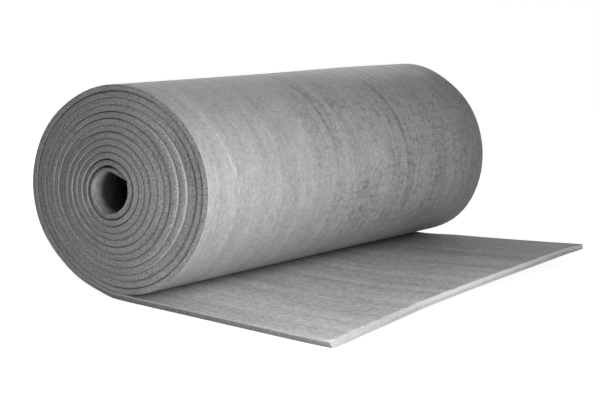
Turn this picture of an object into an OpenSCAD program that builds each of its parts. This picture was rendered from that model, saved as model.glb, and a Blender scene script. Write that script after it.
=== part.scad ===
// A roll of foam insulation sheet, partly unrolled.
// One sheet winds round an open bore, passes under the roll and runs out on the floor, with its far corner lifted.
// Millimetres, +Z up. The roll's axis runs along Y and the loose end runs out towards +X.
// The origin is on the floor, in the middle of the whole footprint.

/* [Sheet] */
// Thickness of the foam sheet
sheet_t = 10; // [5:1:20]
// Width of the sheet, which is the length of the roll
sheet_w = 1000; // [300:10:1500]

/* [Roll] */
// Whole turns in the roll
turns = 13; // [4:1:24]
// Slack between one turn and the next
turn_gap = 0.5; // [0.3:0.1:2.5]
// Diameter of the bore, left by the bar that the sheet was wound on
bore_d = 76; // [50:1:150]
// How far each turn's centre steps away from the loose end, because the turns on that side lie slacker
turn_shift = 1.6; // [0.1:0.1:3]
// How deep the gaps between the turns are cut into the ends of the roll
gap_depth = 6; // [2:1:15]
// Where the sheet's inner end lies, as an angle from the top of the bore towards the loose end
inner_end_angle = 75; // [30:5:120]

/* [Loose end] */
// Length of the loose end, from under the roll's middle to its cut edge
loose_l = 405; // [250:5:1000]
// How far the cut edge leans back from bottom to top
cut_lean = 3; // [0:0.5:8]
// How high the far corner stands off the floor
corner_lift = 35; // [5:1:60]
// Where the far side leaves the floor, from under the roll's middle
lift_start = 20; // [10:5:120]

/* [Hidden] */
$fn = 128;
// Each turn lies one pitch inside the last, so a half turn changes radius by half a pitch
pitch = sheet_t + turn_gap;
bore_r = bore_d / 2;
roll_r = bore_r + turns * pitch;
// The left halves of all turns share one height of centre and the right halves another, half a pitch up
left_z = roll_r;
right_z = roll_r + pitch / 2;
bore_x = -turns * turn_shift;
foot_mid_x = (loose_l - roll_r) / 2;
// The far side rises as this power of the way to its corner, in this many facets
lift_curve = 1.2;
lift_facets = 3;
// Cutting tools pass this far through the surface that they open into
over = 1;
foam_color = [0.55, 0.55, 0.56];

// A section drawn with x towards the loose end and y upwards, run along the roll's axis
module along_axis(length) {
    translate([0, length / 2, 0])
        rotate([90, 0, 0])
            linear_extrude(length)
                children();
}

// Half of a solid disc about its own centre: side is -1 for the half away from the loose end, 1 for the other
module half_disc(radius, side) {
    intersection() {
        circle(r = radius);
        translate([side < 0 ? -radius : 0, -radius])
            square([radius, 2 * radius]);
    }
}

// The outermost turn: two half discs of different radius that meet smoothly at the top
module outer_turn() {
    along_axis(sheet_w)
        translate([0, left_z])
            half_disc(roll_r, -1);
    along_axis(sheet_w)
        translate([0, right_z])
            half_disc(roll_r - pitch / 2, 1);
}

// The loose end: flat on the floor from the roll to a line between its near corner and its far side.
// Beyond that line a fan of facets from the near corner carries the far side up to the lifted far corner.
module loose_end() {
    near_y = -sheet_w / 2;
    far_y = sheet_w / 2;
    far_side = [for (i = [0 : lift_facets]) let (s = i / lift_facets)
        [lift_start + (loose_l - lift_start) * s, far_y, corner_lift * s ^ lift_curve]];
    lean = [-cut_lean, 0, sheet_t];
    rise = [0, 0, sheet_t];
    under = concat([[0, near_y, 0], [loose_l, near_y, 0]], far_side, [[0, far_y, 0]]);
    // Places in these lists: 0 and 1 are the near side, 2 to far_corner the far side, and up leads to the upper face
    far_corner = lift_facets + 2;
    far_root = lift_facets + 3;
    up = len(under);
    upper = [for (i = [0 : up - 1]) under[i] + (i == 1 || i == far_corner ? lean : rise)];
    polyhedron(
        points = concat(under, upper),
        faces = concat(
            [[0, 1, 2, far_root], [far_root + up, 2 + up, 1 + up, up]],
            [for (i = [2 : far_corner - 1]) [1, i + 1, i]],
            [for (i = [2 : far_corner - 1]) [i + up, i + 1 + up, 1 + up]],
            [[0, up, 1 + up, 1], [1, 1 + up, far_corner + up, far_corner], [0, far_root, far_root + up, up]],
            [concat([far_root], [for (i = [2 : far_corner]) i], [for (i = [far_corner : -1 : 2]) i + up], [far_root + up])]
        )
    );
}

// The round bore, open at both ends
module bore() {
    along_axis(sheet_w + 2 * over)
        translate([bore_x, left_z])
            circle(r = bore_r);
}

// Part of the gap inside one turn: a turned groove from the top down its left (-1) or right (1) side
module gap_arc(turn, side, sweep) {
    half_turns = side < 0 ? 2 * turn : 2 * turn + 1;
    translate([-turn * turn_shift, 0, side < 0 ? left_z : right_z])
        mirror([side < 0 ? 0 : 1, 0, 0])
            rotate([90, 0, 0])
                rotate([0, 0, 90])
                    rotate_extrude(angle = sweep)
                        translate([roll_r - half_turns * pitch / 2, 0])
                            square([turn_gap, gap_depth + over]);
}

// The short straight run of gap under the roll, where each turn steps away from the loose end
module gap_step(turn) {
    translate([-turn * turn_shift, -gap_depth - over, turn * pitch - turn_gap])
        cube([turn_shift, gap_depth + over, turn_gap]);
}

// The blunt inner end of the sheet: a slit from the innermost gap into the bore
module inner_end_slit() {
    translate([-(turns - 1) * turn_shift, 0, right_z])
        rotate([0, inner_end_angle, 0])
            translate([-turn_gap / 2, -gap_depth - over, bore_r - pitch])
                cube([turn_gap, gap_depth + over, (3 * pitch + turn_gap) / 2]);
}

// All the gaps that show on one end: a spiral of half turns, left and right by turns, ending at the bore
module end_gaps() {
    for (turn = [1 : turns - 1]) {
        gap_step(turn);
        gap_arc(turn, -1, 180);
        gap_arc(turn, 1, turn < turns - 1 ? 180 : inner_end_angle);
    }
    inner_end_slit();
}

// The whole sheet: turned roll with its bore, its turns showing on both ends, and the loose end
module foam_roll() {
    color(foam_color)
        translate([-foot_mid_x, 0, 0])
            difference() {
                union() {
                    outer_turn();
                    loose_end();
                }
                bore();
                for (side = [-1, 1])
                    translate([0, side * (sheet_w / 2 - gap_depth), 0])
                        mirror([0, side < 0 ? 0 : 1, 0])
                            end_gaps();
            }
}

foam_roll();
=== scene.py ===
"""A roll of grey foam insulation sheet, partly unrolled on the floor.

One sheet winds round an open bore, passes under the roll and runs out along the floor, with its far corner
lifted. Metres, in the CAD part's frame: the roll's axis runs along Y, the loose end runs out towards +X and
the floor is at z = 0.
"""

import bpy
import numpy as np
from mathutils import Matrix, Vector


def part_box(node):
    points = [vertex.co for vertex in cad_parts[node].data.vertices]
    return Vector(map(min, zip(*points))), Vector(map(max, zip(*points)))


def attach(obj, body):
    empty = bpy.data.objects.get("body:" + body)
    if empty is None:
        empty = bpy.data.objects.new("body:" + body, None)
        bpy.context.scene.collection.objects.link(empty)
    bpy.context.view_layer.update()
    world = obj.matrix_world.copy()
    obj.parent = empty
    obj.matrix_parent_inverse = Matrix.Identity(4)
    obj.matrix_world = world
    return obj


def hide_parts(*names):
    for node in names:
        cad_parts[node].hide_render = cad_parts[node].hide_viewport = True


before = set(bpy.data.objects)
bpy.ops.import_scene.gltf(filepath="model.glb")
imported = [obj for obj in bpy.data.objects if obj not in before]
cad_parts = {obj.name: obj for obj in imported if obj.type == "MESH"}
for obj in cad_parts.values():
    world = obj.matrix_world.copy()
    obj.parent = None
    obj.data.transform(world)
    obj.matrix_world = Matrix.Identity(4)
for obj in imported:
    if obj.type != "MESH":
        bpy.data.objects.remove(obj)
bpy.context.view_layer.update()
low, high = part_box("foam_roll")

# The sheet and the roll
WIDTH = high.y - low.y
ROLL_R = (high.z - low.z) / 2
AXIS_X = low.x + ROLL_R
LOOSE_L = high.x - AXIS_X
SHEET_T = 0.010
EDGE_R = 0.0011
ROUND = 2 * np.pi

# The winding, per turn: how far it closes in and how far its centre steps away from the loose end
PITCH = 0.01057
STEP = 0.00219
# Where the sheet's inner end lies, in turns from under the roll, and the middle of the hole that it leaves
LAST_TURN = 12.69
HOLE_X = AXIS_X - 0.0215
HOLE_Z = ROLL_R + 0.0009
# The turns between which the winding leads over into the inner end
LEAD_OVER = (11.85, 12.15)
# How far the outermost turn stands off a plain spiral, as pairs of (1 - cosine) and sine waves,
# 1 to 4 to a turn
NEAR_WAVES = np.array([2.97, 0.13, 2.11, -2.63, -0.81, -1.51, -0.96, -0.94]) / 1000
FAR_WAVES = np.array([3.90, -0.66, 0.03, -0.44, 2.17, 0.08, 0.0, 0.0]) / 1000
# How far each turn has sunk inwards on the slack side, from the outermost turn in
SUNK = np.array([0.0, 0.0, -2.0, 3.0, 7.5, 6.5, 7.0, 7.0, 5.0, 3.5, 1.0, 0.5, 0.5]) / 1000
# The slack that every turn has, and where it is wider, as turns and extra widths
LEAST_GAP = 0.00050
OPEN_CROWNS = ((0.24, 0.0008), (0.38, 0.0012), (4.5, 0.0009), (6.48, 0.0010),
               (8.5, 0.0005), (9.5, 0.0006), (10.45, 0.0010))
OPEN_INNER = ((11.3, 0.0010), (11.5, 0.0006))
# On the slack side of both ends: how far turns lie back, and how far their outer edges are worn, by turn
BACK_AT = (0.25, 0.75, 1.75, 2.75, 3.75, 4.75)
BACK = (0.0, 0.0012, 0.0045, 0.0075, 0.0020, 0.0)
WORN_AT = (1.25, 1.75, 2.75, 3.75, 4.75, 5.75, 7.75)
WORN = (0.0, 0.0008, 0.0012, 0.0022, 0.0026, 0.0012, 0.0004)
# The inner end springs off the wall and runs straight across the hole: how far off its middle, and which
# way it faces
FLAP_OFF = 0.0270
FLAP_FACE = np.radians(196.4)
# The far corner of the loose end is lifted off the floor, with a bend this wide
CORNER_LIFT = 0.036
LIFT_BEND = 0.12
# How far the cut edge leans back from bottom to top at the near side, and how much more at the far side
LEAN = 0.0075
FAR_LEAN = 0.0030

# The grid: stations to a turn and on the loose end, points on a face and depths of the points on a cut face
TURN_STATIONS = 72
LOOSE_STATIONS = 60
FACE_POINTS = 27
CUT_DEPTHS = (0.12, 0.30)
# The lean of the cut edge fades out over this many stations
LEAN_STATIONS = 12

# Shares of light given back by the skin and by cut faces, and the least anywhere
SKIN_TONE = 0.375
CUT_TONE = 0.380
LEAST_TONE = 0.03
# Rubs and folds, light and dark lines round the winding, and broad lighter and darker bands: place across,
# slant, first and last turn, width and weight
RUBS = (
    (-0.452, 0.26, 0.57, 0.77, 0.0034, 1.00),
    (-0.142, 0.50, 0.50, 0.56, 0.0040, 1.00),
    (0.165, 1.00, 0.53, 0.59, 0.0040, 0.80),
    (-0.090, 0.00, 0.49, 0.74, 0.0100, -0.45),
    (0.158, 0.10, 0.53, 0.84, 0.0110, -0.50),
    (-0.035, 0.06, 0.57, 0.76, 0.0075, -0.30),
    (-0.270, 0.00, 0.73, 0.82, 0.0700, 0.25),
    (0.405, 0.08, 0.55, 0.86, 0.0090, -0.35),
    (-0.100, 0.00, 0.50, 0.68, 0.0600, -0.22),
)
# A darker, more pitted patch on the near end, and how far it reaches
DARK_PATCH = (AXIS_X + 0.115, low.y, ROLL_R + 0.085)
DARK_PATCH_R = 0.10

# Floor and light
FLOOR_HALF = 12.0
FLOOR_Z = -0.0004
WORLD_LEVEL = 0.03
ROLL_FRONT = (-0.05, -0.30, 0.15)
ROLL_MIDDLE = (-0.05, 0.0, 0.15)
# Each lamp's name, place, aim, width and height, and power in watts
LAMPS = (
    ("strip", (0.78, -0.30, 0.46), ROLL_FRONT, (0.8, 0.4), 2.95),
    ("key", (0.63, -0.79, 0.29), ROLL_FRONT, (0.3, 0.3), 2.15),
    ("upper", (0.80, -0.50, 0.90), ROLL_FRONT, (0.5, 0.5), 2.2),
    ("front", (0.80, -1.30, 0.45), ROLL_FRONT, (0.5, 0.5), 2.8),
    ("low", (0.345, 0.17, 0.013), (0.29, 0.17, 0.011), (0.72, 0.016), 0.10),
    ("rim", (-0.40, 0.25, 0.62), (-0.13, 0.25, 0.34), (0.7, 0.2), 1.0),
    ("top", (0.30, -0.20, 2.80), ROLL_MIDDLE, (1.2, 1.2), 1.6),
    ("back", (-2.20, 1.50, 1.10), ROLL_MIDDLE, (1.2, 1.2), 13.0),
    ("behind", (-2.00, -0.10, 0.36), (-0.30, -0.10, 0.20), (1.0, 0.4), 16.0),
)
# The photograph's view: place, then yaw from +Y, pitch down and tilt in radians, then film and lens in
# millimetres
EYE = (AXIS_X + 1.6963, low.y - 2.3360, 0.6412)
YAW = 0.5276
PITCH_DOWN = 0.1594
TILT = 0.0873
FILM_W = 36.0
LENS = 108.72


# Curves that the shapes are made of

def ramp(x, start, end):
    """0 before start, 1 past end and 3s^2 - 2s^3 at the share s of the way; start may be the larger."""
    share = np.clip((x - start) / (end - start), 0.0, 1.0)
    return share * share * (3.0 - 2.0 * share)


def bell(x, middle, width):
    """A bell curve: e to the power of minus the square of the distance from its middle in widths."""
    return np.exp(-((x - middle) / width) ** 2)


def bumps(turn, heights):
    """A sum of bell curves along the winding, each a third of a turn long, from pairs of place and height."""
    return sum(height * bell(turn, middle, 0.17) for middle, height in heights)


def soft_positive(x, width):
    """0 well below zero and x well above it, with a round corner: half of x + root of (x^2 + width^2)."""
    return 0.5 * (x + np.sqrt(x * x + width * width))


# The sheet's shape

def sheet_loop():
    """The sheet's cross section as a closed loop, inner face first, then outer face.

    Half of it runs from the middle of the far cut face round its rounded edge, along the inner face and round
    to the middle of the near cut face; the other half is the same with the depth turned over. Along a face
    the points follow a sine, so they crowd towards the ends. Returns each point's y, its depth in sheet
    thicknesses (-0.5 on the inner face, 0.5 on the outer) and how much it belongs to a cut face.
    """
    half = WIDTH / 2
    bend = np.radians([0.0, 30.0, 60.0, 90.0])
    edge = EDGE_R / SHEET_T
    flat = -np.array(CUT_DEPTHS)
    face = (half - EDGE_R) * np.sin(np.linspace(1, -1, FACE_POINTS + 2)[1:-1] * np.pi / 2)
    y_corner = half - EDGE_R + EDGE_R * np.cos(bend)
    n_corner = -0.5 + edge - edge * np.sin(bend)
    y = np.concatenate([[half, half], y_corner, face, -y_corner[::-1], [-half, -half]])
    n = np.concatenate([flat, n_corner, np.full(face.size, -0.5), n_corner[::-1], flat[::-1]])
    cut = np.concatenate([[1, 1], np.cos(bend), 0 * face, np.cos(bend)[::-1], [1, 1]])
    return np.r_[y, y[::-1]], np.r_[n, -n[::-1]], np.r_[cut, cut[::-1]]


def sprung(turn, v):
    """How far the sheet stands off the floor where it leaves the roll at the near end: a bell curve."""
    return 0.0026 * bell(turn, 0.03, 0.03) * ramp(v, 0.35, 0.0)


def out_of_round(turn, v):
    """How far the winding stands off a plain spiral, by turn and from the near end (v = 0) to the far (1).

    The sum over k of A (1 - cos k a) + B sin k a, with A and B blended from end to end; it fades towards the
    bore. Bell curves shape the outermost turn: fuller over its crown and at its foot towards the far end and
    on the left of the near end, and hollow past the crown at the far end.
    """
    a = ROUND * turn
    total = 0.0
    for k in range(4):
        rise, sway = (NEAR_WAVES[i] * (1 - v) + FAR_WAVES[i] * v for i in (2 * k, 2 * k + 1))
        total = total + rise * (1 - np.cos((k + 1) * a)) + sway * np.sin((k + 1) * a)
    crown = 0.0020 * bell(turn, 0.45, 0.10) * bell(v, 0.76, 0.20)
    hollow = 0.0036 * bell(turn, 0.57, 0.05) * ramp(v, 0.82, 1.0)
    foot = 0.0028 * bell(turn, 0.865, 0.06) * ramp(v, 0.55, 0.95)
    left = 0.0015 * (bell(turn, 0.165, 0.04) + bell(turn, 0.335, 0.04)) * (1 - v)
    fading = np.clip(1 - turn / LAST_TURN, 0, 1) ** 1.5
    return total * fading + crown - hollow + foot + left - sprung(turn, v)


def slack_side(turn):
    """1 on the side of the loose end, a little above the middle, and 0 on the other: a squared cosine."""
    theta = np.arctan2(-np.cos(ROUND * turn), -np.sin(ROUND * turn))
    return np.clip(np.cos(0.9 * (theta - np.radians(15))), 0, None) ** 2


def wound_middle(turn, v):
    """The sheet's middle surface in the roll, as x and z: a spiral about a centre that steps sideways.

    At angle a from the bottom, going up the side away from the loose end, the radius is the roll's less half
    the sheet and one pitch for each turn, plus the out-of-round waves, less what the turn has sunk on its
    slack side and less the flattened crown and side of the innermost turns.
    """
    a = ROUND * turn
    side, up = -np.sin(a), -np.cos(a)
    sunk = np.interp(turn - 0.75, np.arange(SUNK.size), SUNK) * slack_side(turn) * (1 - 0.35 * v)
    crown = 0.0041 * np.clip(up, 0, None) ** 2 * np.exp((turn - 12.24) / 3)
    pushed = 0.0078 * np.clip(-side, 0, None) ** 2 * np.exp((turn - 12.24) / 1.5)
    radius = ROLL_R - SHEET_T / 2 - PITCH * turn + out_of_round(turn, v) - sunk - crown - pushed
    return AXIS_X - STEP * turn + radius * side, ROLL_R + radius * up


def inner_end(turn):
    """The inner end of the sheet: the radius of its inner face about the hole's middle, and its thickness.

    From the bottom of its last turn the face closes in as the square of the angle up to the crown, and a soft
    minimum joins that to a straight run across the hole, whose radius is its distance over a cosine. The
    sheet is thin where it was pulled tight, swells under the crown and tapers to its tip on the wall.
    """
    a = np.clip(ROUND * (turn - 12), 0, None)
    closing = 0.0392 - 0.0023 * (a / (np.pi / 2)) ** 2 + 0.04 * ramp(a, 2.8, 3.6)
    straight = FLAP_OFF / np.clip(np.cos(a - FLAP_FACE), 0.35, None)
    inner = 0.5 * (closing + straight - np.sqrt((closing - straight) ** 2 + 0.0025 ** 2))
    thick = 0.0076 - 0.0021 * ramp(a, 0.0, 1.5) + 0.0032 * ramp(a, 2.85, 3.5) - 0.0072 * ramp(a, 3.55, 4.4)
    return inner, thick


def sheet_middle(turn, v):
    """The middle surface from under the roll to the inner end: the winding, led over into the inner end."""
    x, z = wound_middle(turn, v)
    inner, thick = inner_end(turn)
    a = ROUND * turn
    middle = inner + thick / 2
    led = ramp(turn, *LEAD_OVER)
    return x + (HOLE_X - middle * np.sin(a) - x) * led, z + (HOLE_Z - middle * np.cos(a) - z) * led


def turn_gap(turn):
    """The slack between a turn and the next one in.

    It is a hair, wider where two slow waves add up and open at some crowns, though hardly on the slack side.
    """
    waves = 0.6 * np.sin(ROUND * 0.29 * turn + 0.6) + 0.6 * np.sin(ROUND * 0.83 * turn + 2.2)
    rise = np.clip(waves, 0, None)
    return LEAST_GAP + (0.0010 * rise ** 2 + bumps(turn, OPEN_CROWNS)) * (1 - 0.85 * slack_side(turn))


def half_thickness(turn, v):
    """How thick the sheet is inwards and outwards of its middle: half the way to the next turn, less slack.

    Where turns lie far apart the foam swells only to a limit, so they stand open there. Next to the step on
    the slack side the outer of two turns has swollen more than the inner.
    """
    x, z = sheet_middle(turn, v)
    limit = 0.0085 - 0.0037 * ramp(turn, 10.3, 10.9) - bumps(turn, OPEN_INNER)
    xi, zi = sheet_middle(np.minimum(turn + 1, LAST_TURN), v)
    xo, zo = sheet_middle(np.maximum(turn - 1, 0), v)
    ended = ramp(turn, LAST_TURN - 1.03, LAST_TURN - 1.0)
    swollen, shared = (0.0045 * bell(at, 2.75, 0.35) * slack_side(at) for at in (turn, turn - 1))
    inwards = swollen + np.minimum((np.hypot(xi - x, zi - z) - turn_gap(turn)) / 2, limit)
    inwards = inwards * (1 - ended) + 0.0047 * ended
    outwards = np.minimum((np.hypot(xo - x, zo - z) - turn_gap(turn - 1)) / 2 - shared, limit)
    outwards = np.where(turn < 1, SHEET_T / 2, outwards)
    led = ramp(turn, *LEAD_OVER)
    half = inner_end(turn)[1] / 2
    return inwards + (half - inwards) * led, outwards + (half - outwards) * led


def loose_middle(along, v):
    """The middle surface of the loose end, along = 1 at its cut edge and 0 under the roll's axis.

    On the floor, with a cut edge that swells out towards the near corner and is drawn in along its middle,
    and with the far corner lifted where along + v passes 1, so that the sheet bends one way only.
    """
    length = LOOSE_L - 0.0025 + 0.0045 * bell(v, 0.02, 0.05) - 0.0033 * np.sin(np.pi * v) ** 2
    length = length + 0.012 * ramp(v, 0.38, 0.02) + 0.0035 * ramp(v, 0.9, 1.0)
    rise = soft_positive(along + v - 1.0, LIFT_BEND) - soft_positive(-1.0, LIFT_BEND)
    lifted = CORNER_LIFT * rise * along ** 0.22 * ramp(along, 0.0, 1 / 3)
    foot = sprung(-along * LOOSE_L / (ROUND * ROLL_R), v)
    return AXIS_X + length * along, SHEET_T / 2 + foot + lifted


def turn_ends(turn, seed):
    """How unevenly the turns end: four slow waves along the winding, seeded, about 1 mm each way."""
    rng = np.random.default_rng(seed)
    pace, phase = rng.uniform(0.15, 1.7, 4), rng.uniform(0, ROUND, 4)
    return 0.0005 * np.sin(ROUND * pace * turn[:, None] + phase).sum(1)


def set_back(place):
    """How far each turn's ends lie back: the innermost turns a little, and the step on the slack side."""
    innermost = 0.0012 * ramp(place, 11.5, 12.1) + 0.0045 * ramp(place, 12.25, 12.45)
    return innermost + slack_side(place) * np.interp(place, BACK_AT, BACK)


def foam_sheet():
    """The whole sheet as a grid of points: the cross section's loop carried along the sheet's middle surface.

    Stations run from the cut edge of the loose end, under the roll and round the winding to the flap in the
    bore. Each loop point lies at the middle surface plus its depth times the sheet's thickness along the
    normal, which is the path's tangent turned a quarter turn. Returns the points, the length run along the
    sheet, the distance round the loop, the cut mask, the loop's depths and the turn number.
    """
    y, n, cut = sheet_loop()
    v = (y + WIDTH / 2) / WIDTH
    # The cut edge is rounded by the first three stations
    rounding = 1 - np.array([0, 0.25, 0.6]) * EDGE_R / LOOSE_L
    along = np.concatenate([rounding, np.linspace(1 - EDGE_R / LOOSE_L, 0, LOOSE_STATIONS)])
    turn = np.linspace(0, LAST_TURN, int(TURN_STATIONS * LAST_TURN))[1:]
    loose, wound = loose_middle(along[:, None], v), sheet_middle(turn[:, None], v)
    x, z = (np.concatenate(pair) for pair in zip(loose, wound))
    stations = x.shape[0]
    place = np.concatenate([np.zeros(along.size), turn])
    flat = np.full((along.size, v.size), SHEET_T / 2)
    inwards, outwards = (np.concatenate([flat, half]) for half in half_thickness(turn[:, None], v))
    # Ends of the sheet: the loop draws in by the edge's radius at the first and the last stations
    draw = np.zeros(stations)
    draw[:4] = EDGE_R * np.array([1.0, 0.35, 0.10, 0.0])
    draw[-2:] = 0.5 * EDGE_R * np.array([0.0, 1.0])
    depth = 2 * n * np.where(n < 0, inwards, outwards) * (1 - 2 * draw / SHEET_T)[:, None]
    # Unit tangent, and the normal away from the bore
    tx, tz = np.gradient(x, axis=0), np.gradient(z, axis=0)
    long = np.hypot(tx, tz)
    tx, tz = tx / long, tz / long
    near, far = ramp(v, 0.08, 0.0), ramp(v, 0.92, 1.0)
    # The cut edge of the loose end leans back from bottom to top
    at_edge = np.clip(1 - np.arange(stations) / LEAN_STATIONS, 0, 1)[:, None]
    lean = (LEAN + FAR_LEAN * v) * (1 - 0.9 * far) * at_edge * (0.5 - n)
    px = x - tz * depth + tx * lean
    pz = z + tx * depth + tz * lean
    # Across the width: edges drawn in at the sheet's ends, a flared near corner, uneven turns, inner edges
    # that stand proud and outer edges that are worn
    settled = ramp(place, 0.0, 0.8)[:, None]
    back = set_back(place)
    proud = (0.0003 + 0.0007 * (place / LAST_TURN) ** 2)[:, None] * settled * n
    bevel = slack_side(place) * np.interp(place, WORN_AT, WORN)
    worn = bevel[:, None] * (np.abs(y) > WIDTH / 2 - 1.001 * EDGE_R) * np.clip(2 * n, 0, 1) ** 2
    flare = 0.0080 * np.concatenate([along, np.zeros(turn.size)]) ** 1.5
    py = y * (1 - 2 * draw / WIDTH)[:, None] - flare[:, None] * ramp(v, 0.3, 0.0)
    py = py + near * ((turn_ends(place, 11) + back)[:, None] * settled + 2 * proud * cut + worn)
    py = py - far * ((turn_ends(place, 23) + back)[:, None] * settled + 2 * proud * cut + worn)
    points = np.stack([px, py, np.maximum(pz, 0.0)], -1)
    run = np.concatenate([[0], np.cumsum(np.hypot(np.diff(x[:, 0]), np.diff(z[:, 0])))])
    ring = np.concatenate([[0], np.cumsum(np.hypot(np.diff(y), np.diff(n) * SHEET_T))])
    ends = np.zeros(stations)
    ends[:3], ends[-2:] = 1, 1
    return points, run, ring, np.maximum(cut[None, :], ends[:, None]), n, place


def foam_roll():
    """The foam sheet as one closed mesh, with a UV map in metres and the masks that the foam's finish reads.

    Quads join the stations, and each end of the sheet is capped by quads that join the inner half of its loop
    to the outer half.
    """
    points, run, ring, cut, n, place = foam_sheet()
    rows, cols = points.shape[:2]
    i, j = np.meshgrid(np.arange(rows - 1), np.arange(cols), indexing="ij")
    k = (j + 1) % cols
    skin = np.stack([i * cols + j, (i + 1) * cols + j, (i + 1) * cols + k, i * cols + k], -1).reshape(-1, 4)
    m = np.arange(cols // 2 - 1)
    cap = np.stack([m, m + 1, cols - 2 - m, cols - 1 - m], -1)
    faces = np.concatenate([skin, cap, cap[:, ::-1] + (rows - 1) * cols])
    mesh = bpy.data.meshes.new("foam_sheet")
    mesh.vertices.add(rows * cols)
    mesh.vertices.foreach_set("co", points.reshape(-1).astype(np.float32))
    mesh.loops.add(faces.size)
    mesh.loops.foreach_set("vertex_index", faces.reshape(-1).astype(np.int32))
    mesh.polygons.add(len(faces))
    mesh.polygons.foreach_set("loop_start", np.arange(len(faces), dtype=np.int32) * 4)
    mesh.polygons.foreach_set("use_smooth", np.ones(len(faces), dtype=bool))
    mesh.update(calc_edges=True)
    # The loop closes with its last point beside its first, so the seam's quads count on round the loop
    around = ring[-1] + 2 * CUT_DEPTHS[0] * SHEET_T
    number = np.arange(len(faces))
    closing = (number % cols == cols - 1) & (number < len(skin))
    seam = (faces % cols == 0) & closing[:, None]
    grid = [np.broadcast_to(run[:, None], (rows, cols)), np.broadcast_to(ring, (rows, cols))]
    uv = np.stack(grid, -1).reshape(-1, 2)[faces]
    uv[..., 1] = np.where(seam, around, uv[..., 1])
    layer = mesh.uv_layers.new(name="sheet")
    layer.data.foreach_set("uv", uv.reshape(-1).astype(np.float32))
    masks = {"cut": cut, "depth": n + 0.5, "turn": place[:, None]}
    for name, values in masks.items():
        values = np.broadcast_to(values, (rows, cols)).astype(np.float32)
        mesh.attributes.new(name, "FLOAT", "POINT").data.foreach_set("value", values.reshape(-1))
    piece = bpy.data.objects.new("foam_sheet", mesh)
    bpy.context.scene.collection.objects.link(piece)
    return piece


# Node trees

class Value:
    """One output socket of a node tree. Arithmetic on it adds Math nodes."""

    def __init__(self, nodes, socket):
        self.nodes = nodes
        self.socket = socket

    def math(self, operation, *others):
        """A Math node on this value and others."""
        return self.nodes.node("ShaderNodeMath", {"operation": operation}, dict(enumerate((self, *others))))

    def __add__(self, other):
        return self.math("ADD", other)

    def __mul__(self, other):
        return self.math("MULTIPLY", other)

    def __sub__(self, other):
        return self.math("SUBTRACT", other)

    def __rsub__(self, other):
        return self.nodes.node("ShaderNodeMath", {"operation": "SUBTRACT"}, {0: other, 1: self})

    __radd__, __rmul__ = __add__, __mul__

    def size(self):
        """The value without its sign."""
        return self.math("ABSOLUTE")

    def between(self, start, end):
        """0 before start, 1 past end and smooth between; start may be the larger."""
        sockets = {0: self, 1: start, 2: end}
        if start > end:
            sockets = {0: self, 1: end, 2: start, 3: 1.0, 4: 0.0}
        return self.nodes.node("ShaderNodeMapRange", {"interpolation_type": "SMOOTHSTEP"}, sockets)

    def within(self, start, full, fade, end):
        """0 before start, 1 from full to fade, 0 past end and smooth between."""
        return self.between(start, full) * self.between(end, fade)


class Nodes:
    """A node tree, emptied, and the ways to add to it."""

    def __init__(self, tree):
        self.tree = tree
        self.tree.nodes.clear()

    def node(self, kind, settings=None, sockets=None, out=0):
        """Adds a node: its settings first, then a value or link for each socket. Returns the named output."""
        made = self.tree.nodes.new(kind)
        for name, value in (settings or {}).items():
            setattr(made, name, value)
        for key, value in (sockets or {}).items():
            if isinstance(value, Value):
                self.tree.links.new(value.socket, made.inputs[key])
            else:
                made.inputs[key].default_value = value
        return Value(self, made.outputs[out]) if made.outputs else None

    def seen(self):
        """1 for the rays by which camera, gloss and clear material see a surface, and 0 for other light."""
        names = ("Is Camera Ray", "Is Glossy Ray", "Is Transmission Ray")
        camera, gloss, clear = (self.node("ShaderNodeLightPath", out=name) for name in names)
        return camera.math("MAXIMUM", gloss).math("MAXIMUM", clear)

    def vector(self, x, y, z):
        """A vector from three values."""
        return self.node("ShaderNodeCombineXYZ", None, {0: x, 1: y, 2: z})

    def grey(self, level):
        """A grey of one level."""
        return self.node("ShaderNodeCombineColor", None, {0: level, 1: level, 2: level})

    def scaled(self, vector, scale):
        """A vector with each axis multiplied."""
        return self.node("ShaderNodeVectorMath", {"operation": "MULTIPLY"}, {0: vector, 1: scale})

    def noise(self, vector, scale, detail=2.0, rough=0.5, warp=0.0):
        """Smooth noise at so many waves to the unit."""
        sockets = {"Vector": vector, "Scale": scale, "Detail": detail, "Roughness": rough, "Distortion": warp}
        return self.node("ShaderNodeTexNoise", None, sockets)

    def stretched(self, vector, along, across, **more):
        """Noise with its own number of waves to the unit along and across the sheet."""
        return self.noise(self.scaled(vector, (along, across, 1.0)), 1.0, **more)

    def cells(self, vector, scale, feature="F1", rand=1.0):
        """The distance to the nearest cell's middle, or to its edge."""
        sockets = {"Vector": vector, "Scale": scale, "Randomness": rand}
        return self.node("ShaderNodeTexVoronoi", {"feature": feature}, sockets)

    def bump(self, height, distance, normal=None):
        """A normal from a height, on top of another normal if there is one."""
        sockets = {"Height": height, "Distance": distance}
        if normal is not None:
            sockets["Normal"] = normal
        return self.node("ShaderNodeBump", None, sockets)


class Finish(Nodes):
    """A material and its nodes."""

    def __init__(self, name):
        self.material = bpy.data.materials.new(name)
        self.material.use_nodes = True
        super().__init__(self.material.node_tree)

    def surface(self, shader):
        """Gives the material its surface and returns it."""
        self.node("ShaderNodeOutputMaterial", None, {"Surface": shader})
        return self.material


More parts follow.
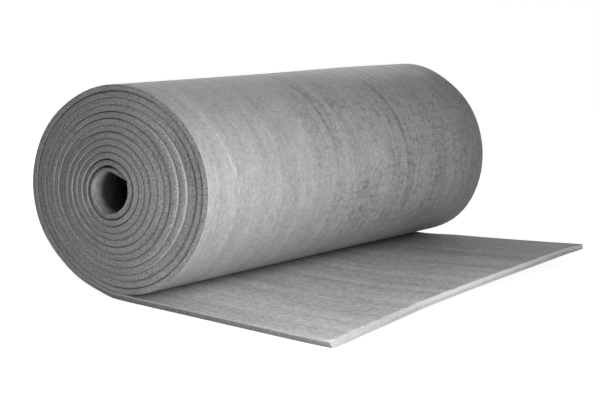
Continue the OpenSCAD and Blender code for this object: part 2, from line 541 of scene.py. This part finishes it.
class Foam(Finish):
    """Closed-cell foam: a matt skin with fine cells, streaks along the winding, soft bands and a net of
    wrinkles, lighter on the sheet's inner face, and grainy cut faces with dark pits and a lighter inner edge
    that is partly wear and partly painted highlight. Painted highlights, sheen and shade lie in zones on skin
    and cut faces.

    Patterns lie on the place in space or on the sheet's own UV map; across is along the roll's axis.
    """

    def __init__(self):
        super().__init__("grey_foam")
        self.place = self.node("ShaderNodeTexCoord", out="Object")
        self.along, self.across, self.above = (self.axis(self.place, name) for name in "XYZ")
        self.sheet = self.node("ShaderNodeUVMap", {"uv_map": "sheet"})
        self.run = self.axis(self.sheet, "X")
        self.cut, self.depth, self.turn = (self.mask(name) for name in ("cut", "depth", "turn"))
        self.inner = self.depth.between(0.56, 0.44)
        self.outer = 1 - self.inner
        # The step on the ends, where a turn on the slack side stands out past the next; the finish paints
        # highlights on its edges
        slack = self.along.between(AXIS_X - 0.02, AXIS_X + 0.06)
        self.step = self.turn.within(3.0, 3.4, 5.0, 5.3) * slack
        # Patterns that more than one part of the finish uses
        self.pores = self.noise(self.place, 270.0, detail=3.0, rough=0.75)
        self.streaks = self.stretched(self.sheet, 6.0, 110.0, detail=4.0, rough=0.6, warp=0.3)
        self.cloud = self.noise(self.place, 30.0, detail=3.0, rough=0.55)
        self.grain = self.noise(self.place, 330.0, detail=3.0, rough=0.8)
        pitted = self.noise(self.place, 22.0, detail=2.0).between(0.45, 0.65)
        self.pits = self.cells(self.place, 300.0).between(0.32, 0.12) * pitted
        folds = self.stretched(self.sheet, 0.7, 24.0, detail=1.0, warp=0.3)
        raised, hollow = folds.within(0.52, 0.58, 0.58, 0.64), folds.within(0.36, 0.42, 0.42, 0.48)
        self.ridge = (raised - hollow) * self.outer
        self.crease = self.creases()

    def axis(self, vector, name):
        """One axis of a vector."""
        return self.node("ShaderNodeSeparateXYZ", None, {0: vector}, out=name)

    def mask(self, name):
        """A point attribute of the piece."""
        return self.node("ShaderNodeAttribute", {"attribute_name": name}, out="Fac")

    def level_lines(self, along, across):
        """Thin lines along the middle level of stretched noise."""
        level = self.stretched(self.sheet, along, across, detail=1.5, warp=0.7)
        return (level - 0.5).size().between(0.050, 0.0)

    def creases(self):
        """Wrinkles along the winding and cracks across it, over a broken net of cells, most on one side."""
        shift = self.node("ShaderNodeTexNoise", None, {"Vector": self.sheet, "Scale": 34.0}, out="Color")
        shift = self.scaled(shift, (0.012, 0.012, 0.0))
        pulled = self.node("ShaderNodeVectorMath", {"operation": "ADD"}, {0: self.sheet, 1: shift})
        pulled = self.scaled(pulled, (1.0, 0.60, 1.0))
        squares = self.cells(pulled, 64.0, "DISTANCE_TO_EDGE", 0.5).between(0.11, 0.0)
        squares = squares * self.noise(self.sheet, 42.0).between(0.36, 0.52)
        net = squares + self.level_lines(22.0, 66.0) * 0.60 + self.level_lines(72.0, 34.0) * 0.50
        worn = self.noise(self.sheet, 9.0, detail=2.0).between(0.20, 0.56)
        worn = worn * (0.2 + 0.8 * self.across.between(-0.28, 0.0))
        worn = worn * (0.45 + 0.55 * self.across.between(0.46, 0.30))
        side = 0.40 + 0.60 * self.turn.within(0.55, 0.63, 0.79, 0.88)
        return net * worn * side * self.outer

    def scuffs(self):
        """Rubs and folds round the winding, broad lighter and darker bands, nicks beside the near end and
        sparse specks.
        """
        broken = self.noise(self.sheet, 60.0).between(0.40, 0.58)
        faint = 0.6 + 0.4 * broken
        total = 0.0
        for middle, slant, first, last, width, weight in RUBS:
            off = self.across - middle - (self.turn - first) * slant + (self.cloud - 0.5) * 0.012
            line = off.size().between(width, width / 5) * (broken if weight > 0 else faint)
            total = total + weight * line * self.turn.within(first, first + 0.03, last - 0.04, last)
        nicks = self.stretched(self.sheet, 45.0, 260.0).between(0.58, 0.66)
        nicks = nicks * (self.across + 0.480).size().between(0.014, 0.002)
        specks = self.cells(self.place, 75.0).between(0.10, 0.05)
        specks = specks * self.noise(self.place, 9.0).between(0.60, 0.64)
        return total + nicks * self.turn.within(0.60, 0.64, 0.72, 0.76) + specks * self.outer

    def skin(self):
        """The tone of the skin: cells, patches, streaks, bands, creases, scuffs, painted highlights on the
        brims and at the step, and a painted sheen along the crest.
        """
        inner = self.inner
        patches = self.noise(self.place, 115.0, detail=3.0, rough=0.6)
        waves = self.stretched(self.sheet, 1.3, 27.0, detail=1.0, warp=0.6)
        bands = self.stretched(self.sheet, 1.6, 18.0, detail=3.0, rough=0.5, warp=0.5)
        off = self.across.size()
        # Painted highlight: lighter brims along the near and far edges of the outermost turn and the loose
        # end, more on the inner face
        painted_brim_highlight = off.between(0.4950, 0.4985) * self.turn.between(1.2, 1.0) * (1 + inner * 0.7)
        # Painted highlight: the outer skin's edge at the step
        painted_brim_highlight = painted_brim_highlight + 3.2 * self.step * self.outer * off.between(0.4860, 0.4920)
        # Painted sheen: a streaky lighter band along the crest of the far half of the roll
        crest = self.turn.within(0.45, 0.50, 0.53, 0.57) * self.across.between(0.0, 0.2) * self.outer
        fine = (self.pores - 0.5) * (0.85 + inner * 0.15) + (patches - 0.5) * (0.62 + inner * 0.7)
        broad = (waves - 0.5) * inner * 0.80 + (self.cloud - 0.5) * 0.30
        drawn = (self.streaks - 0.5) * (0.20 - inner * 0.10) + (bands - 0.5) * (0.38 + inner * 0.25)
        marks = self.ridge * 0.05 + self.scuffs() * 0.42 - self.crease * 0.29
        # Painted highlights: the brims, and a painted sheen along the crest
        light = painted_brim_highlight * 0.16 + crest * (self.streaks * 2.4 - 0.75)
        return SKIN_TONE * (1 + inner * 0.28) * (1 + fine + broad + drawn + marks + light)

    def cut_face(self):
        """The tone of cut faces: grain, dark pits, streaks round the rings, tone that drifts by turn,
        a light inner edge on each turn that is partly wear and partly painted highlight, a painted highlight
        on the lip of the outermost turn and at the step, painted light and shade on the loose end's cut faces
        and one darker, more pitted patch."""
        depth, turn = self.depth, self.turn
        rings = self.noise(self.vector(self.run * 15.0, depth * 5.0, 0.0), 1.0, detail=2.0, rough=0.6)
        drift = self.noise(self.vector(turn * 1.7, 0.0, 0.0), 1.0, detail=2.0)
        # The tip is the cut edge of the loose end, and the side is the loose end's near and far edges
        tip = self.run.between(0.0012, 0.0004)
        side = turn.between(0.08, 0.02) * self.run.between(0.0004, 0.0012)
        wound = turn.between(0.0, 0.15)
        # A lighter inner edge on each turn and on the tip, partly wear and partly painted highlight, and a
        # painted highlight along the upper edge of the loose end's near and far cut faces
        edge = depth.between(0.26, 0.02) * (0.6 * turn.between(0.5, 1.2) + tip)
        edge = edge + depth.between(0.36, 0.12) * side * 4.0
        # Painted highlight: a light lip at the outer edge of the cut faces of the outermost turn and the
        # loose end
        lip = depth.between(0.78, 0.97) * turn.between(1.1, 0.9)
        ply = depth.between(0.10, 0.42) - depth.between(0.55, 0.95)
        apart = {0: self.place, 1: DARK_PATCH}
        away = self.node("ShaderNodeVectorMath", {"operation": "DISTANCE"}, apart, out="Value")
        dark_patch = away.between(DARK_PATCH_R, 0.03)
        # Painted light and shade on the loose end: its tip face lighter, more so towards the far side, and
        # its near and far cut faces darker
        loose = tip * (0.35 + 0.75 * self.across.between(-0.45, 0.45)) - side * 0.32
        fine = (self.grain - 0.5) * 2.9 * (1 - lip * 0.7) * (0.55 + 0.45 * wound)
        broad = (rings - 0.5) * 0.75 * wound + (drift - 0.5) * 0.34
        # Painted highlights on the lip and at the step, the inner edge that is partly wear and partly painted
        # highlight, and lighter middles of each turn
        edges = lip * 0.22 + self.step * depth.between(0.72, 0.95) * 0.5 + edge * 0.26 + (ply - 0.5) * 0.14
        dark = self.pits * (0.26 + dark_patch * 0.4) + dark_patch * 0.06
        return CUT_TONE * (1 + loose + fine + broad + edges - dark)

    def tone(self):
        """Skin and cut faces together, with painted shade set against the photograph's tones: darker inside
        the bore, under the roll beside the loose end, towards the lifted corner and at the far edge of the
        roll."""
        skin = self.skin()
        whole = skin + (self.cut_face() - skin) * self.cut
        # Painted shade: darker deep inside the bore, on the inner face of the innermost turns
        painted_bore_shade = self.across.size().between(0.486, 0.464) * self.turn.between(11.0, 11.3) * self.inner
        # Painted shade: darker low down where the sheet goes under the roll, on the skin only
        painted_shade_under_roll = self.above.between(0.040, 0.006) * self.along.between(AXIS_X + 0.115, AXIS_X + 0.045)
        # Painted shade: the loose end darker towards its lifted far corner
        painted_corner_shade = self.turn.between(0.03, 0.01) * self.across.between(0.0, 0.5)
        # Painted shade: darker along the far edge of the outermost turn, on the skin only
        painted_far_edge_shade = self.across.between(0.40, 0.50) * self.turn.within(0.40, 0.50, 1.0, 1.1)
        uncut = 1 - self.cut
        whole = whole * (1 - painted_bore_shade * 0.85) * (1 - painted_shade_under_roll * uncut * 0.28)
        whole = whole * (1 - painted_corner_shade * 0.30) * (1 - painted_far_edge_shade * uncut * 0.22)
        return whole.math("MAXIMUM", LEAST_TONE)

    def finished(self):
        """The foam's material."""
        relief = self.pores * 0.6 + self.streaks * 0.5 - self.crease * 0.4 + self.ridge * 0.5
        rough_cut = (self.grain - self.pits * 0.8) * self.cut
        return self.surface(self.node("ShaderNodeBsdfPrincipled", None, {
            "Base Color": self.grey(self.tone()),
            "Roughness": 0.62 + self.cut * 0.28 + (self.streaks - 0.5) * 0.16,
            "Specular IOR Level": 0.3,
            "Normal": self.bump(rough_cut, 0.0011, self.bump(relief, 0.0005)),
        }))


def floor_finish():
    """A pale floor: white to the camera and to gloss, with shadow kept, and pale grey to other light."""
    f = Finish("pale_floor")
    plain = f.node("ShaderNodeBsdfDiffuse", None, {"Color": (0.82, 0.82, 0.82, 1.0)})
    place = f.node("ShaderNodeTexCoord", out="Object")
    away = f.node("ShaderNodeVectorMath", {"operation": "LENGTH"}, {0: place}, out="Value")
    shadow = f.node("ShaderNodeBsdfDiffuse", None, {"Color": (0.30, 0.30, 0.30, 1.0)})
    glow = f.node("ShaderNodeEmission", None, {"Color": f.grey(0.92 + 0.08 * away.between(0.5, 1.5))})
    shown = f.node("ShaderNodeAddShader", None, {0: shadow, 1: glow})
    return f.surface(f.node("ShaderNodeMixShader", None, {0: f.seen(), 1: plain, 2: shown}))


# Stage, light and camera

def stand(piece, right, over, back, place):
    """Puts a lamp or camera at a place, turned so that its own axes are the three given, and adds it."""
    turned = np.eye(4)
    turned[:3] = np.stack([right, over, back, place], -1)
    piece.matrix_world = Matrix(turned.tolist())
    bpy.context.scene.collection.objects.link(piece)


def floor_sheet():
    """A flat square of floor, a hair under the object."""
    corners = [(x * FLOOR_HALF, y * FLOOR_HALF, FLOOR_Z) for x, y in ((-1, -1), (1, -1), (1, 1), (-1, 1))]
    mesh = bpy.data.meshes.new("floor")
    mesh.from_pydata(corners, [], [(0, 1, 2, 3)])
    mesh.materials.append(floor_finish())
    piece = bpy.data.objects.new("floor", mesh)
    bpy.context.scene.collection.objects.link(piece)
    return piece


def soft_lamp(name, place, aim, size, power):
    """An area lamp at a place, facing a point; its size is its width, level, and its height."""
    lamp = bpy.data.lights.new(name, "AREA")
    lamp.shape, lamp.size, lamp.size_y, lamp.energy = "RECTANGLE", *size, power
    back = np.array(place, float) - np.array(aim, float)
    back /= np.linalg.norm(back)
    right = np.cross((0.0, 0.0, 1.0), back)
    right /= np.linalg.norm(right)
    stand(bpy.data.objects.new(name, lamp), right, np.cross(back, right), back, place)


def studio_world():
    """Even, low light, and white where the camera, gloss or clear material sees it."""
    world = bpy.data.worlds.new("studio")
    world.use_nodes = True
    n = Nodes(world.node_tree)
    white = (1.0, 1.0, 1.0, 1.0)
    even, shown = (n.node("ShaderNodeBackground", None, {"Color": white, "Strength": level})
                   for level in (WORLD_LEVEL, 1.0))
    mixed = n.node("ShaderNodeMixShader", None, {0: n.seen(), 1: even, 2: shown})
    n.node("ShaderNodeOutputWorld", None, {"Surface": mixed})
    bpy.context.scene.world = world


def photo_camera():
    """The photograph's view: ahead by yaw and pitch, then tilted about the line of sight."""
    level = np.array([np.cos(YAW), np.sin(YAW), 0.0])
    forward = np.array([-np.sin(YAW), np.cos(YAW), 0.0])
    ahead = np.cos(PITCH_DOWN) * forward - np.sin(PITCH_DOWN) * np.array([0.0, 0.0, 1.0])
    upright = np.cross(level, ahead)
    right = np.cos(TILT) * level + np.sin(TILT) * upright
    over = -np.sin(TILT) * level + np.cos(TILT) * upright
    lens = bpy.data.cameras.new("photo_view")
    lens.sensor_width, lens.lens, lens.clip_end = FILM_W, LENS, 60.0
    camera = bpy.data.objects.new("photo_view", lens)
    stand(camera, right, over, -ahead, EYE)
    bpy.context.scene.camera = camera


photo_camera()
floor_sheet()
studio_world()
for lamp in LAMPS:
    soft_lamp(*lamp)

roll = foam_roll()
roll.data.materials.append(Foam().finished())
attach(roll, "root")
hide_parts("foam_roll")

bpy.context.scene.view_settings.view_transform = "Standard"
